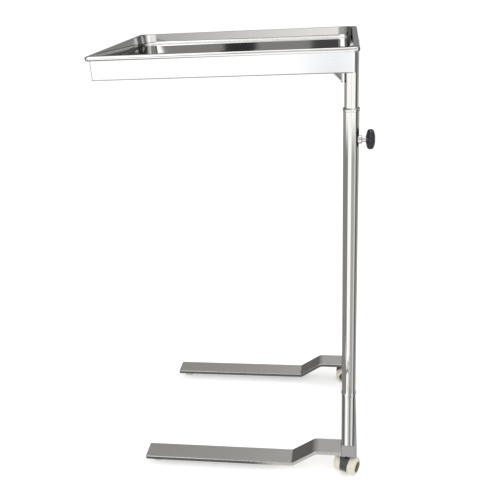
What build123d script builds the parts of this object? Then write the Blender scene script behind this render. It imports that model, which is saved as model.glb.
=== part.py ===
from build123d import *
import math
import os

# Instrument stand: a cantilever tray on a telescoping post, over a base of
# two flat legs and two twin-wheel casters. Millimetres, +Z up.
# The legs and the tray reach towards -X, the clamp knob points to +X,
# and -Y is the side that faces the viewer.

# Tray and the frame that carries it
rim_top = 887.0
tray_length = 476.0
tray_width = 356.0
post_inset = 12.0
tray_depth = 20.0
tray_sheet = 1.0
tray_corner = 9.0
tray_cove = 6.0
pan_draft = 5.0
pan_corner = 30.0
rim_drop = 8.0
rim_roll = 3.6
rim_overhang = 7.0
rim_lip = 4.2
pan_clearance = 1.0
skirt_height = 41.0
skirt_sheet = 1.5
skirt_corner = 4.0
skirt_flange = 12.0

# Arm, rails and bracket below the tray
arm_width = 40.0
arm_wall = 2.0
arm_clearance = 1.0
rail_width = 24.0
rail_thickness = 3.0
rail_inset = 110.0
plate_length = 66.0
plate_width = 42.0
plate_thickness = 3.0
bracket_leg = 24.0
bracket_web = 2.0
bracket_flange = 16.0
bracket_sheet = 2.5
bracket_corner = 3.0

# Post and column
post_d = 28.0
post_wall = 1.5
post_engaged = 478.0
column_d = 32.0
column_wall = 1.2
column_drop = 139.0
liner_length = 90.0
liner_flange = 2.0
collar_d = 33.6
collar_height = 7.0
collar_neck = 30.6
collar_crimp = 1.6
collar_edge = 0.4
lap_gap = 0.9
glide_collar = 14.0
glide_spigot = 30.0
glide_bevel = 1.0
running_gap = 0.05
free_gap = 0.3
foot_ring_d = 34.4
foot_ring_height = 4.5
foot_ring_bevel = 0.7

# Clamp knob
knob_drop = 61.0
boss_d = 17.0
boss_length = 6.0
boss_edge = 2.0
screw_d = 8.0
screw_neck_d = 10.6
pad_d = 7.6
pad_length = 2.6
pad_bevel = 0.4
pad_socket = 1.56
pad_pin_d = 3.6
pad_pin_length = 1.3
knob_gap = 0.6
neck_length = 6.4
knob_d = 41.0
knob_thickness = 18.5
knob_lobes = 10
knob_lobe_r = 5.6
knob_edge = 5.0
knob_back_edge = 3.0
knob_dish = 1.6
insert_d = 13.0
insert_length = 11.0

# Crossbar and legs
crossbar_length = 380.0
crossbar_width = 32.0
crossbar_height = 30.0
crossbar_wall = 2.0
crossbar_bottom = 46.0
cap_thickness = 2.0
cap_bevel = 1.2
leg_width = 45.0
leg_thickness = 8.0
leg_reach = 450.0
leg_fold_low = 122.0
leg_fold_high = 72.0
leg_clear = 15.0
leg_rise = 34.0
leg_edge = 1.2
leg_tip_r = 3.0
fold_low_r = 8.0
fold_high_r = 20.0
foot_inset = 22.0
foot_d = 24.0
foot_base_d = 20.0
foot_edge = 1.5
foot_screw_d = 6.0
foot_screw_depth = 5.5
foot_head_d = 10.0
foot_head_height = 3.0
foot_head_recess = 7.0
foot_key_depth = 1.8

# Column bolt
plug_length = 26.0
plug_bevel = 1.5
bolt_d = 10.0
bolt_head_d = 17.0
bolt_head_height = 6.4
bolt_bevel = 1.0
washer_d = 21.0
washer_thickness = 2.0
access_hole_d = 24.0

# Casters
wheel_d = 40.0
wheel_width = 16.4
wheel_dome = 6.5
wheel_gap = 0.35
wheel_edge = 0.6
hub_recess_d = 25.0
hub_recess_floor_d = 19.0
hub_recess_depth = 5.5
hub_cap_height = 2.0
hub_cap_nose_d = 8.0
hub_cap_rim = 0.8
hub_cap_skin = 1.0
hub_cap_play = 0.4
centre_d = 37.0
centre_width = 16.0
centre_edge = 0.8
axle_d = 6.0
axle_bevel = 0.5
axle_stand = 0.6
caster_trail = 11.0
front_turn = 25.0
rear_turn = 90.0
caster_inset = 22.0
stem_d = 11.0
stem_depth = 16.0
stem_bevel = 1.0
stem_end_gap = 1.0
socket_bevel = 1.0
socket_top_gap = 4.0
socket_d = 17.0
hood_wall = 3.0
hood_front = 17.5
hood_low = 24.0
hood_corner = 5.0
hood_top_gap = 0.6

# Values worked out from the ones above
post_r = post_d / 2
column_top = rim_top - column_drop
post_bottom = column_top - post_engaged
knob_z = column_top - knob_drop
tray_reach = tray_length - post_inset
column_r = column_d / 2
column_bore_r = column_r - column_wall
crossbar_top = crossbar_bottom + crossbar_height
rim_under = rim_top - tray_sheet
skirt_bottom = rim_under - skirt_height
tray_right = post_inset
skirt_length = tray_length - 2 * rim_overhang
skirt_width = tray_width - 2 * rim_overhang
skirt_right = tray_right - rim_overhang
tray_mid = tray_right - tray_length / 2
pan_length = skirt_length - 2 * skirt_sheet - 2 * pan_clearance
pan_width = skirt_width - 2 * skirt_sheet - 2 * pan_clearance
pan_under = rim_top - tray_depth - tray_sheet
boss_out = column_r + boss_length
neck_out = boss_out + knob_gap + neck_length
knob_reach = neck_out + knob_thickness
swivel_y = crossbar_length / 2 - caster_inset
wheel_r = wheel_d / 2
wheel_in = centre_width / 2 + wheel_gap
wheel_out = wheel_in + wheel_width
shoulder = wheel_out - wheel_dome



def wheel_reach(turn_deg):
    """How far a caster's wheels reach along Y from its hub, when turned."""
    turned = math.radians(turn_deg)
    by_tread = shoulder * math.sin(turned) + wheel_r * math.cos(turned)
    by_face = wheel_out * math.sin(turned) + hub_recess_d / 2 * math.cos(turned)
    return max(by_tread, by_face)


# The origin is on the floor, under the middle of the whole stand.
front_reach = swivel_y + caster_trail * math.cos(math.radians(front_turn)) + wheel_reach(front_turn)
rear_reach = swivel_y - caster_trail * math.cos(math.radians(rear_turn)) + wheel_reach(rear_turn)
column_x = (tray_reach - knob_reach) / 2
centre_y = (max(front_reach, crossbar_length / 2) - max(rear_reach, crossbar_length / 2)) / 2


def level(z, x=0.0, y=0.0):
    """A horizontal plane at height z, placed from the column's axis."""
    return Plane(origin=(column_x + x, centre_y + y, z))


def upright(y=0.0, z=0.0):
    """A plane facing the viewer, with local x along X and local y upwards."""
    return Plane(origin=(column_x, centre_y + y, z), x_dir=(1, 0, 0), z_dir=(0, -1, 0))


def side(x=0.0, z=0.0):
    """A plane facing +X, with local x along Y and local y upwards."""
    return Plane(origin=(column_x + x, centre_y, z), x_dir=(0, 1, 0), z_dir=(1, 0, 0))


def save(piece, name):
    """Labels a finished piece and writes it."""
    piece.part.label = name
    export_step(piece.part, f"parts/{name}.step")


os.makedirs("parts", exist_ok=True)
column_axis = Axis((column_x, centre_y, 0), (0, 0, 1))
knob_axis = Axis((column_x, centre_y, knob_z), (1, 0, 0))

# Tray: a coved pan hung from a ledge whose edge is rolled down and back
with BuildPart() as pan_hollow:
    with BuildSketch(level(rim_top, tray_mid)):
        RectangleRounded(pan_length - 2 * tray_sheet, pan_width - 2 * tray_sheet, pan_corner - tray_sheet)
    extrude(amount=-tray_depth, taper=pan_draft)
    fillet(pan_hollow.faces().sort_by(Axis.Z)[0].edges(), tray_cove - tray_sheet)

with BuildPart() as roll_hollow:
    with BuildSketch(level(rim_top - rim_drop + tray_sheet, tray_mid)):
        RectangleRounded(
            tray_length - 2 * tray_sheet, tray_width - 2 * tray_sheet, tray_corner - tray_sheet
        )
    extrude(amount=rim_drop - 2 * tray_sheet)
    fillet(roll_hollow.faces().sort_by(Axis.Z)[0].edges(), rim_roll - tray_sheet)
    fillet(roll_hollow.faces().sort_by(Axis.Z)[-1].edges(), rim_roll - tray_sheet)

with BuildPart() as instrument_tray:
    with BuildSketch(level(rim_top - rim_drop, tray_mid)):
        RectangleRounded(tray_length, tray_width, tray_corner)
    extrude(amount=rim_drop)
    fillet(instrument_tray.faces().sort_by(Axis.Z)[0].edges(), rim_roll)
    fillet(instrument_tray.faces().sort_by(Axis.Z)[-1].edges(), rim_roll)
    add(roll_hollow.part, mode=Mode.SUBTRACT)
    with BuildSketch(level(rim_top - rim_drop, tray_mid)):
        RectangleRounded(tray_length - 2 * rim_lip, tray_width - 2 * rim_lip, tray_corner - rim_lip)
    extrude(amount=rim_drop - tray_sheet, mode=Mode.SUBTRACT)
    with BuildSketch(level(rim_top, tray_mid)):
        RectangleRounded(pan_length, pan_width, pan_corner)
    extrude(amount=-(tray_depth + tray_sheet), taper=pan_draft)
    fillet(instrument_tray.faces().sort_by(Axis.Z)[0].edges(), tray_cove)
    add(pan_hollow.part, mode=Mode.SUBTRACT)
save(instrument_tray, "instrument_tray")

# Frame: a folded skirt with a return flange along its lower edge
arm_bottom = skirt_bottom
arm_height = pan_under - arm_clearance - arm_bottom
with BuildPart() as tray_frame:
    with BuildSketch(level(skirt_bottom, tray_mid)):
        RectangleRounded(skirt_length, skirt_width, skirt_corner)
    extrude(amount=skirt_height)
    with BuildSketch(level(skirt_bottom + skirt_sheet, tray_mid)):
        RectangleRounded(
            skirt_length - 2 * skirt_sheet, skirt_width - 2 * skirt_sheet, skirt_corner - skirt_sheet
        )
    extrude(amount=skirt_height, mode=Mode.SUBTRACT)
    with BuildSketch(level(skirt_bottom, tray_mid)):
        Rectangle(skirt_length - 2 * skirt_flange, skirt_width - 2 * skirt_flange)
    extrude(amount=skirt_sheet, mode=Mode.SUBTRACT)
    with BuildSketch(level(skirt_bottom, tray_mid)):
        Rectangle(skirt_length - 2 * skirt_sheet, arm_width)
    extrude(amount=skirt_sheet, mode=Mode.SUBTRACT)
save(tray_frame, "tray_frame")

# Arm: a box section from the post to the far end of the frame
with BuildPart() as support_arm:
    with BuildSketch(level(arm_bottom, tray_mid)):
        Rectangle(skirt_length - 2 * skirt_sheet, arm_width)
    extrude(amount=arm_height)
    with BuildSketch(side(skirt_right - skirt_sheet, arm_bottom + arm_height / 2)):
        Rectangle(arm_width - 2 * arm_wall, arm_height - 2 * arm_wall)
    extrude(amount=-(skirt_length - 2 * skirt_sheet), mode=Mode.SUBTRACT)
    long_edges = support_arm.edges().filter_by(Axis.X).group_by(SortBy.LENGTH)[-1]
    fillet(long_edges.sort_by(lambda e: -abs(e.center().Y - centre_y))[:4], arm_wall / 2)
save(support_arm, "support_arm")

# Rails: flat bars from the skirt to the arm, in pairs at the two ends
rail_span = (skirt_width / 2 - skirt_sheet) - arm_width / 2
rail_top = arm_bottom + arm_height
rail_y = arm_width / 2 + rail_span / 2
for rail_name, rail_x in (
    ("post_end_rails", skirt_right - rail_inset),
    ("far_end_rails", tray_mid * 2 - skirt_right + rail_inset),
):
    with BuildPart() as rails:
        for sign in (-1, 1):
            with BuildSketch(level(rail_top - rail_thickness, rail_x, sign * rail_y)):
                Rectangle(rail_width, rail_span)
            extrude(amount=rail_thickness)
    save(rails, rail_name)

# Plate under the frame, and the post below it. The post's outer side is
# left standing past the plate and laps the end wall of the skirt.
plate_top = skirt_bottom
post_top = plate_top - plate_thickness
lap_top = rim_top - rim_drop - lap_gap
with BuildPart() as post_plate:
    with BuildSketch(level(post_top, skirt_right - plate_length / 2)):
        Rectangle(plate_length, plate_width)
    extrude(amount=plate_thickness)
    fillet(post_plate.edges().filter_by(Axis.Z).group_by(Axis.X)[0], bracket_corner)
save(post_plate, "post_plate")

with BuildPart() as inner_post:
    with BuildSketch(level(post_bottom)):
        Circle(post_r)
        Circle(post_r - post_wall, mode=Mode.SUBTRACT)
    extrude(amount=lap_top - post_bottom)
    with BuildSketch(level(post_top, skirt_right - column_d)):
        Rectangle(2 * column_d, 2 * column_d)
    extrude(amount=lap_top - post_top, mode=Mode.SUBTRACT)
save(inner_post, "inner_post")

# Gusset bracket: a thin web with a flange down its slope and along the post
slope_foot = (-post_r, post_top - bracket_leg)
slope_head = (-post_r - bracket_leg, post_top)
slope_cut = bracket_sheet * math.sqrt(2)
with BuildPart() as gusset_bracket:
    with BuildSketch(upright()):
        with BuildLine():
            Polyline((-post_r, post_top), slope_head, slope_foot, close=True)
        make_face()
    extrude(amount=bracket_web / 2, both=True)
    with BuildSketch(upright()):
        with BuildLine():
            Polyline(
                slope_head,
                slope_foot,
                (-post_r, slope_foot[1] + slope_cut),
                (slope_head[0] + slope_cut, post_top),
                close=True,
            )
        make_face()
        with BuildLine():
            Polyline(
                (-post_r, post_top),
                (-post_r - bracket_sheet, post_top),
                (-post_r - bracket_sheet, slope_foot[1]),
                slope_foot,
                close=True,
            )
        make_face()
        with BuildLine():
            Polyline((-post_r, post_top), slope_head, slope_foot, close=True)
        make_face(mode=Mode.INTERSECT)
    extrude(amount=bracket_flange / 2, both=True)
    with BuildSketch(level(post_top - 2 * bracket_leg)):
        Circle(post_r)
    extrude(amount=2 * bracket_leg, mode=Mode.SUBTRACT)
save(gusset_bracket, "gusset_bracket")

# Column, its liner and the crimped collar round the top
hole_r = screw_d / 2 + free_gap
with BuildPart() as column:
    with BuildSketch(level(crossbar_top)):
        Circle(column_r)
        Circle(column_bore_r, mode=Mode.SUBTRACT)
    extrude(amount=column_top - crossbar_top)
    with BuildSketch(side(0, knob_z)):
        Circle(hole_r)
    extrude(amount=column_d, mode=Mode.SUBTRACT)
save(column, "column")

liner_bore_r = post_r + running_gap
with BuildPart() as column_liner:
    with BuildSketch(upright()):
        with BuildLine():
            Polyline(
                (liner_bore_r, column_top - liner_length),
                (column_bore_r, column_top - liner_length),
                (column_bore_r, column_top),
                (column_r, column_top),
                (column_r, column_top + liner_flange),
                (liner_bore_r, column_top + liner_flange),
                close=True,
            )
        make_face()
    revolve(axis=column_axis)
    with BuildSketch(side(0, knob_z)):
        Circle(hole_r)
    extrude(amount=column_d, mode=Mode.SUBTRACT)
save(column_liner, "column_liner")

collar_r = collar_d / 2
liner_top = column_top + liner_flange
collar_low = liner_top + collar_crimp - collar_height
with BuildPart() as column_collar:
    with BuildSketch(upright()):
        with BuildLine():
            Polyline(
                (column_r, collar_low),
                (collar_r, collar_low),
                (collar_r, liner_top),
                (collar_neck / 2, liner_top + collar_crimp),
                (post_r + free_gap, liner_top + collar_crimp),
                (post_r + free_gap, liner_top),
                (column_r, liner_top),
                close=True,
            )
        make_face()
    revolve(axis=column_axis)
    fillet(column_collar.edges().group_by(Axis.Z)[0].sort_by(SortBy.RADIUS)[-1:], collar_edge)
save(column_collar, "column_collar")

# Nylon glide in the post's lower end: it slides in the column, and the post
# turns on its spigot
glide_r = column_bore_r - running_gap
with BuildPart() as post_glide:
    with BuildSketch(level(post_bottom - glide_collar)):
        Circle(glide_r)
    extrude(amount=glide_collar - free_gap)
    chamfer(post_glide.edges().group_by(Axis.Z)[0], glide_bevel)
    with BuildSketch(level(post_bottom - free_gap)):
        Circle(post_r - post_wall - running_gap)
    extrude(amount=glide_spigot)
    chamfer(post_glide.edges().group_by(Axis.Z)[-1], glide_bevel)
    with BuildSketch(level(post_bottom - glide_collar)):
        Circle(glide_r / 2)
    extrude(amount=glide_collar + glide_spigot, mode=Mode.SUBTRACT)
save(post_glide, "post_glide")

# Ring round the column's foot
foot_ring_r = foot_ring_d / 2
with BuildPart() as foot_ring:
    with BuildSketch(level(crossbar_top)):
        Circle(foot_ring_r)
        Circle(column_r, mode=Mode.SUBTRACT)
    extrude(amount=foot_ring_height)
    chamfer(foot_ring.edges().group_by(Axis.Z)[-1].sort_by(SortBy.RADIUS)[-1:], foot_ring_bevel)
save(foot_ring, "foot_ring")

# Threaded plug in the column's foot, with the bolt and washer that hold it
bolt_r = bolt_d / 2
with BuildPart() as column_plug:
    with BuildSketch(level(crossbar_top)):
        Circle(column_bore_r)
        Circle(bolt_r, mode=Mode.SUBTRACT)
    extrude(amount=plug_length)
    chamfer(column_plug.edges().group_by(Axis.Z)[-1].sort_by(SortBy.RADIUS)[-1:], plug_bevel)
save(column_plug, "column_plug")

washer_top = crossbar_top - crossbar_wall
bolt_seat = washer_top - washer_thickness
with BuildPart() as column_washer:
    with BuildSketch(level(bolt_seat)):
        Circle(washer_d / 2)
        Circle(bolt_r + free_gap, mode=Mode.SUBTRACT)
    extrude(amount=washer_thickness)
save(column_washer, "column_washer")

with BuildPart() as column_bolt:
    with BuildSketch(level(bolt_seat - bolt_head_height)):
        RegularPolygon(bolt_head_d / 2, 6, major_radius=False)
    extrude(amount=bolt_head_height)
    with BuildSketch(level(bolt_seat)):
        Circle(bolt_r)
    extrude(amount=washer_thickness + crossbar_wall + plug_length - bolt_r)
    chamfer(column_bolt.edges().group_by(Axis.Z)[-1], bolt_bevel)
save(column_bolt, "column_bolt")

# Clamp boss: coped to the column, bored for the screw
with BuildPart() as clamp_boss:
    with BuildSketch(side(column_r / 2, knob_z)):
        Circle(boss_d / 2)
    extrude(amount=boss_out - column_r / 2)
    fillet(clamp_boss.edges().group_by(Axis.X)[-1], boss_edge)
    with BuildSketch(side(0, knob_z)):
        Circle(screw_d / 2 + running_gap)
    extrude(amount=2 * column_d, mode=Mode.SUBTRACT)
    with BuildSketch(level(knob_z - boss_d)):
        Circle(column_r)
    extrude(amount=2 * boss_d, mode=Mode.SUBTRACT)
save(clamp_boss, "clamp_boss")

# Pressure pad: a brass shoe in the column wall, with a socket for the screw
pad_in = post_r + free_gap
pad_out = pad_in + pad_length
with BuildPart() as pressure_pad:
    with BuildSketch(side(pad_in, knob_z)):
        Circle(pad_d / 2)
    extrude(amount=pad_length)
    chamfer(pressure_pad.edges().group_by(Axis.X)[0], pad_bevel)
    with BuildSketch(side(pad_out, knob_z)):
        Circle(pad_pin_d / 2 + running_gap)
    extrude(amount=-pad_socket, mode=Mode.SUBTRACT)
save(pressure_pad, "pressure_pad")

# Clamp screw: pin, shank and the neck that shows between boss and knob
insert_in = neck_out
insert_out = insert_in + insert_length
with BuildPart() as clamp_screw:
    with BuildSketch(upright(0, knob_z)):
        with BuildLine():
            Polyline(
                (pad_out - pad_pin_length, 0),
                (pad_out - pad_pin_length, pad_pin_d / 2),
                (pad_out + free_gap, pad_pin_d / 2),
                (pad_out + free_gap, screw_d / 2),
                (boss_out + knob_gap, screw_d / 2),
                (boss_out + knob_gap, screw_neck_d / 2),
                (neck_out, screw_neck_d / 2),
                (neck_out, screw_d / 2),
                (insert_out - knob_gap, screw_d / 2),
                (insert_out - knob_gap, 0),
                close=True,
            )
        make_face()
    revolve(axis=knob_axis)
save(clamp_screw, "clamp_screw")

with BuildPart() as knob_insert:
    with BuildSketch(side(insert_in, knob_z)):
        RegularPolygon(insert_d / 2, 6, major_radius=False)
        Circle(screw_d / 2, mode=Mode.SUBTRACT)
    extrude(amount=insert_length)
save(knob_insert, "knob_insert")

# Knob: a lobed grip, rounded over, with a dished face
with BuildPart() as clamp_knob:
    with BuildSketch(side(insert_in, knob_z)):
        Circle(knob_d / 2 - knob_lobe_r / 2)
        with PolarLocations(knob_d / 2 - knob_lobe_r, knob_lobes, start_angle=180 / knob_lobes):
            Circle(knob_lobe_r)
    extrude(amount=knob_thickness)
    fillet(clamp_knob.faces().sort_by(Axis.X)[0].edges(), knob_back_edge)
    fillet(clamp_knob.faces().sort_by(Axis.X)[-1].edges(), knob_edge)
    with BuildSketch(side(knob_reach, knob_z)):
        Circle(knob_d / 2 - knob_lobe_r - knob_edge)
    extrude(amount=-knob_dish, mode=Mode.SUBTRACT)
    with BuildSketch(side(insert_in, knob_z)):
        RegularPolygon(insert_d / 2, 6, major_radius=False)
    extrude(amount=insert_length, mode=Mode.SUBTRACT)
save(clamp_knob, "clamp_knob")

# Crossbar: a square-cornered tube with holes for the sockets and the bolt
half_tube = crossbar_length / 2 - cap_thickness
socket_r = socket_d / 2
with BuildPart() as crossbar:
    with BuildSketch(upright(-half_tube, crossbar_bottom + crossbar_height / 2)):
        RectangleRounded(crossbar_width, crossbar_height, crossbar_wall)
        Rectangle(
            crossbar_width - 2 * crossbar_wall,
            crossbar_height - 2 * crossbar_wall,
            mode=Mode.SUBTRACT,
        )
    extrude(amount=-2 * half_tube)
    with BuildSketch(level(crossbar_bottom)):
        with Locations((0, -swivel_y), (0, swivel_y)):
            Circle(socket_r)
        Circle(access_hole_d / 2)
    extrude(amount=crossbar_wall, mode=Mode.SUBTRACT)
    with BuildSketch(level(crossbar_top)):
        Circle(bolt_r + free_gap)
    extrude(amount=-crossbar_wall, mode=Mode.SUBTRACT)
save(crossbar, "crossbar")

for cap_name, cap_from, cap_face in (
    ("front_end_cap", -half_tube - cap_thickness, 0),
    ("rear_end_cap", half_tube, -1),
):
    with BuildPart() as end_cap:
        with BuildSketch(upright(cap_from, crossbar_bottom + crossbar_height / 2)):
            RectangleRounded(crossbar_width, crossbar_height, crossbar_wall)
        extrude(amount=-cap_thickness)
        chamfer(end_cap.faces().sort_by(Axis.Y)[cap_face].edges(), cap_bevel)
    save(end_cap, cap_name)

# Legs: flat bars, folded up to clear the casters and welded to the crossbar.
# Each has a nylon foot under its tip, held by a screw from below.
leg_low = leg_clear + leg_thickness / 2
leg_high = leg_low + leg_rise
foot_x = -(leg_reach - foot_inset)
foot_screw_r = foot_screw_d / 2
for place, leg_from in (("front", -crossbar_length / 2), ("rear", crossbar_length / 2 - leg_width)):
    with BuildPart() as leg:
        with BuildSketch(upright(leg_from)):
            with BuildLine() as leg_line:
                FilletPolyline(
                    (-leg_reach, leg_low),
                    (-leg_fold_low, leg_low),
                    (-leg_fold_high, leg_high),
                    (-crossbar_width / 2, leg_high),
                    radius=[fold_low_r, fold_high_r],
                )
            trace(leg_line.line, leg_thickness)
        extrude(amount=-leg_width)
        fillet(leg.edges().filter_by(Axis.Z).group_by(Axis.X)[0], leg_tip_r)
        leg_sides = leg.faces().filter_by(Axis.Y)
        long_edges = leg_sides.edges().filter_by(Axis.Z, reverse=True)
        fillet(long_edges, leg_edge)
        with BuildSketch(level(leg_clear, foot_x, leg_from + leg_width / 2)):
            Circle(foot_screw_r)
        extrude(amount=foot_screw_depth, mode=Mode.SUBTRACT)
    save(leg, f"{place}_leg")

    with BuildPart() as foot:
        foot_mid = leg_from + leg_width / 2
        with BuildSketch(level(0, foot_x, foot_mid)):
            Circle(foot_base_d / 2)
        with BuildSketch(level(leg_clear, foot_x, foot_mid)):
            Circle(foot_d / 2)
        loft()
        fillet(foot.edges().group_by(Axis.Z)[0], foot_edge)
        with BuildSketch(level(0, foot_x, foot_mid)):
            Circle(foot_head_d / 2 + free_gap)
        extrude(amount=foot_head_recess + foot_head_height, mode=Mode.SUBTRACT)
        with BuildSketch(level(0, foot_x, foot_mid)):
            Circle(foot_screw_r)
        extrude(amount=leg_clear, mode=Mode.SUBTRACT)
    save(foot, f"{place}_foot")

    with BuildPart() as foot_screw:
        with BuildSketch(level(foot_head_recess, foot_x, foot_mid)):
            Circle(foot_head_d / 2)
        extrude(amount=foot_head_height)
        with BuildSketch(level(foot_head_recess + foot_head_height, foot_x, foot_mid)):
            Circle(foot_screw_r)
        extrude(amount=leg_clear + foot_screw_depth - foot_head_recess - foot_head_height)
        with BuildSketch(level(foot_head_recess, foot_x, foot_mid)):
            RegularPolygon(foot_screw_r, 6)
        extrude(amount=foot_key_depth, mode=Mode.SUBTRACT)
    save(foot_screw, f"{place}_foot_screw")

# Casters: each swivels on a stem and has two wheels on one axle, with the
# body between them. The axle trails the stem, and the two casters stand as
# they happen to have rolled. In the plane across the axle, local x runs from
# the axle towards the stem and local y runs upwards.
stem_r = stem_d / 2
hood_top = crossbar_bottom - hood_top_gap
hood_back = caster_trail + stem_r + hood_wall
stem_bottom = hood_top - stem_depth
socket_top = crossbar_top - crossbar_wall - socket_top_gap
for place, stem_y, turn_deg in (("front", -swivel_y, front_turn), ("rear", swivel_y, rear_turn)):
    turn = math.radians(turn_deg)
    along = Vector(math.cos(turn), -math.sin(turn), 0)
    behind = Vector(math.sin(turn), math.cos(turn), 0)
    swivel = Vector(column_x, centre_y + stem_y, 0)
    hub = swivel - behind * caster_trail + Vector(0, 0, wheel_r)
    axle_axis = Axis(hub, along)
    cross = Plane(origin=hub, x_dir=behind, z_dir=along)
    spin = Plane(origin=hub, x_dir=along, z_dir=behind * -1)

    with BuildPart() as socket:
        with BuildSketch(Plane(origin=swivel + Vector(0, 0, crossbar_bottom))):
            Circle(socket_r)
            Circle(stem_r + running_gap, mode=Mode.SUBTRACT)
        extrude(amount=socket_top - crossbar_bottom)
        chamfer(socket.edges().group_by(Axis.Z)[-1].sort_by(SortBy.RADIUS)[-1:], socket_bevel)
    save(socket, f"{place}_caster_socket")

    with BuildPart() as stem:
        with BuildSketch(Plane(origin=swivel + Vector(0, 0, stem_bottom))):
            Circle(stem_r)
        extrude(amount=socket_top - stem_bottom - stem_end_gap)
        chamfer(stem.edges().group_by(Axis.Z)[-1], stem_bevel)
    save(stem, f"{place}_caster_stem")

    with BuildPart() as centre:
        with BuildSketch(cross):
            Circle(centre_d / 2)
        extrude(amount=centre_width / 2, both=True)
        fillet(centre.edges(), centre_edge)
        with BuildSketch(cross):
            Circle(axle_d / 2)
        extrude(amount=centre_width, both=True, mode=Mode.SUBTRACT)
        with BuildSketch(Plane(origin=swivel + Vector(0, 0, stem_bottom))):
            Circle(stem_r)
        extrude(amount=stem_depth, mode=Mode.SUBTRACT)
    save(centre, f"{place}_caster_centre")

    with BuildPart() as hood:
        hood_middle = ((hood_back - hood_front) / 2, (hood_top + hood_low) / 2 - wheel_r)
        with BuildSketch(cross):
            with Locations(hood_middle):
                Rectangle(hood_back + hood_front, hood_top - hood_low)
        extrude(amount=centre_width / 2, both=True)
        across = hood.edges().filter_by(lambda e: abs(e.tangent_at(0.5).dot(along)) > 0.99)
        fillet(across.group_by(Axis.Z)[-1], hood_corner)
        with BuildSketch(cross):
            Circle(centre_d / 2)
        extrude(amount=centre_width, both=True, mode=Mode.SUBTRACT)
        with BuildSketch(Plane(origin=swivel + Vector(0, 0, stem_bottom))):
            Circle(stem_r)
        extrude(amount=stem_depth, mode=Mode.SUBTRACT)
    save(hood, f"{place}_caster_hood")

    axle_half = wheel_out - hub_recess_depth + axle_stand
    with BuildPart() as axle:
        with BuildSketch(cross):
            Circle(axle_d / 2)
        extrude(amount=axle_half, both=True)
        chamfer(axle.edges().filter_by(GeomType.CIRCLE), axle_bevel)
    save(axle, f"{place}_caster_axle")

    for hand, sign in (("left", -1), ("right", 1)):
        bore_r = axle_d / 2 + running_gap
        recess_floor = wheel_out - hub_recess_depth
        with BuildPart() as wheel:
            with BuildSketch(spin):
                with BuildLine():
                    Polyline(
                        (sign * wheel_in, bore_r),
                        (sign * wheel_in, wheel_r - wheel_edge),
                        (sign * (wheel_in + wheel_edge), wheel_r),
                        (sign * shoulder, wheel_r),
                    )
                    EllipticalCenterArc(
                        (sign * shoulder, hub_recess_d / 2),
                        wheel_dome,
                        wheel_r - hub_recess_d / 2,
                        start_angle=0 if sign > 0 else 90,
                        arc_size=90,
                    )
                    Polyline(
                        (sign * wheel_out, hub_recess_d / 2),
                        (sign * recess_floor, hub_recess_floor_d / 2),
                        (sign * recess_floor, bore_r),
                        (sign * wheel_in, bore_r),
                    )
                make_face()
            revolve(axis=axle_axis)
        save(wheel, f"{place}_wheel_{hand}")

        cap_r = hub_recess_floor_d / 2 - hub_cap_play
        cap_bore_r = axle_d / 2 + hub_cap_play
        cap_top = recess_floor + hub_cap_height
        with BuildPart() as hub_cap:
            with BuildSketch(spin):
                with BuildLine():
                    Polyline(
                        (sign * recess_floor, cap_bore_r),
                        (sign * recess_floor, cap_r),
                        (sign * (recess_floor + hub_cap_rim), cap_r),
                        (sign * cap_top, hub_cap_nose_d / 2),
                        (sign * cap_top, 0),
                        (sign * (cap_top - hub_cap_skin), 0),
                        (sign * (cap_top - hub_cap_skin), cap_bore_r),
                        close=True,
                    )
                make_face()
            revolve(axis=axle_axis)
        save(hub_cap, f"{place}_hub_cap_{hand}")
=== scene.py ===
"""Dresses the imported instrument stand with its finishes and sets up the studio."""

from __future__ import annotations

import logging
import math
from dataclasses import dataclass, field
from enum import Enum
from typing import Any, Sequence, Union

import bmesh
import bpy
from mathutils import Matrix, Vector

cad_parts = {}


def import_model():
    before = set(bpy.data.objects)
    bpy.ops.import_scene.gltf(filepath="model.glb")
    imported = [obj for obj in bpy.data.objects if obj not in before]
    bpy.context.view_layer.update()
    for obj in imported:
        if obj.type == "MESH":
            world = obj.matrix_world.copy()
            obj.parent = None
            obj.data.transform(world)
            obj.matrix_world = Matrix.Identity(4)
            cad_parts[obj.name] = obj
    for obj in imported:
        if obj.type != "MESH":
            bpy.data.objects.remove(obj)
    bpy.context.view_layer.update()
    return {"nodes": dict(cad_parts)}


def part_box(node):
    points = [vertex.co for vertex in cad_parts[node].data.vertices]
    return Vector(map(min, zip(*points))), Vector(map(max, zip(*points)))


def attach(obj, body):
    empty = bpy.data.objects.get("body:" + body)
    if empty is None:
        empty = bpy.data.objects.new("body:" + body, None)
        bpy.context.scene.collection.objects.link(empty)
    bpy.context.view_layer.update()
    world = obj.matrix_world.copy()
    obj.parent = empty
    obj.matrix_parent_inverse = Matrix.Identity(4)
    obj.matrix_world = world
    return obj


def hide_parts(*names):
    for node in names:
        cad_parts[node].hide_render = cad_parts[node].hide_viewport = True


LOG = logging.getLogger("stand")
MM = 0.001
FULL_TURN = 2 * math.pi
Colour = tuple[float, float, float]
Span = tuple[float, float]
Edges = tuple[float, float, float, float]
Tones = tuple[Span, ...]
Profile = tuple[Span, ...]


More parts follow.
